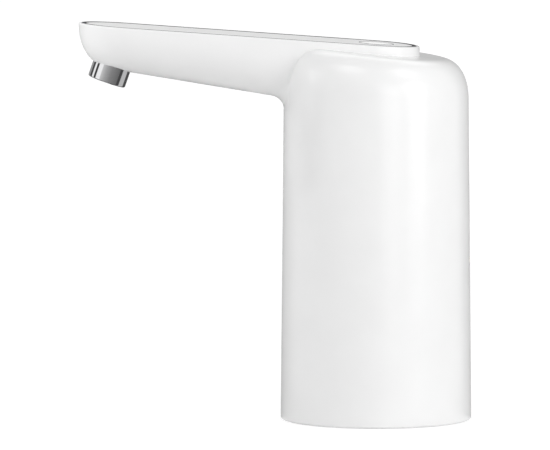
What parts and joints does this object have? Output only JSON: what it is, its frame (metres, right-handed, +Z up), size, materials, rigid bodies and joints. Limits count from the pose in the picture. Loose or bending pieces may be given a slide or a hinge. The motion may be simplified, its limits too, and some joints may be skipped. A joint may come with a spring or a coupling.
{
  "type": "electric water jug pump",
  "caption": "Battery pump that stands on the neck of a large water jug: tapered round body, boat-shaped spout with a tilted chrome nozzle, grey top panel and a dished push button.",
  "frame": {"origin": "centre of the jug neck's socket at the foot of the body", "axes": "+Z up along the neck, the body and the motor; the spout points to -X; +Y is the far side"},
  "size_m": [0.1522, 0.074, 0.1541],
  "materials": {
    "white_gloss": "white gloss moulding",
    "grey_panel": "light grey satin moulding",
    "dark_trim": "dark plated trim",
    "chrome": "bright chrome",
    "white_matte": "white matte moulding",
    "frame_grey": "grey matte moulding",
    "ivory_nylon": "ivory nylon",
    "black_plastic": "black moulding",
    "silicone": "soft translucent silicone",
    "black_rubber": "black rubber",
    "screw_steel": "zinc-plated steel",
    "can_steel": "plated steel can",
    "nickel": "nickel strip",
    "cell_wrap": "blue shrink wrap",
    "lead_sheath": "coloured lead sheath",
    "board_green": "green board",
    "ferrite": "sintered magnet",
    "lamination": "stacked steel sheet",
    "bronze": "sintered bronze",
    "copper": "copper"
  },
  "bodies": {
    "pump_frame": {"housing": "white_gloss", "top_panel": "grey_panel", "trim_ring": "dark_trim", "nozzle_sleeve": "chrome", "nozzle_insert": "white_matte", "nozzle_nut": "white_matte", "nozzle_elbow": "white_matte", "nozzle_o_ring": "black_rubber", "bottle_collar": "white_matte", "neck_gasket": "silicone", "base_screws": "screw_steel", "inlet_fitting": "white_matte", "inlet_nut": "white_matte", "inlet_seal": "black_rubber", "chassis": "frame_grey", "chassis_screws": "screw_steel", "upper_bracket": "frame_grey", "bracket_screws": "screw_steel", "pump_cushion": "black_rubber", "battery_cell": "cell_wrap", "battery_tabs": "nickel", "battery_leads": "lead_sheath", "main_board": "board_green", "board_components": "ivory_nylon", "usb_socket": "screw_steel", "switch_board": "board_green", "switch_screws": "screw_steel", "tact_switch": "black_plastic", "switch_leads": "lead_sheath", "motor_can": "can_steel", "motor_magnets": "ferrite", "motor_bushes": "bronze", "motor_end_cap": "white_matte", "motor_terminals": "nickel", "motor_brushes": "copper", "motor_screws": "screw_steel", "motor_leads": "lead_sheath", "pump_body": "white_matte", "diaphragm": "black_rubber", "valve_plate": "ivory_nylon", "valve_flaps": "black_rubber", "pump_cover": "white_matte", "pump_screws": "screw_steel", "inlet_hose": "silicone", "outlet_hose": "silicone"},
    "button": {"button": "white_gloss", "switch_plunger": "black_plastic"},
    "rotor": {"motor_shaft": "screw_steel", "armature": "lamination", "armature_windings": "copper", "commutator": "copper", "eccentric": "ivory_nylon", "crank_pin": "screw_steel"},
    "wobbler": {"wobble_plate": "ivory_nylon"}
  },
  "joints": [
    {"name": "button_press", "type": "slide", "parent": "pump_frame", "child": "button", "axis": [-0.0703, 0, -0.9975], "range_m": [0, 0.0006], "stiffness_N_per_m": 800},
    {"name": "motor_spin", "type": "hinge", "parent": "pump_frame", "child": "rotor", "pos_m": [0, 0, 0.0797], "axis": [0, 0, 1], "continuous": true, "deforming": ["diaphragm"]},
    {"name": "wobble", "type": "hinge", "parent": "rotor", "child": "wobbler", "pos_m": [0, 0, 0.0797], "axis": [0.1219, 0, 0.9925], "continuous": true}
  ],
  "couplings": [
    {"joint": "wobble", "follows": "motor_spin", "ratio": -1}
  ]
}
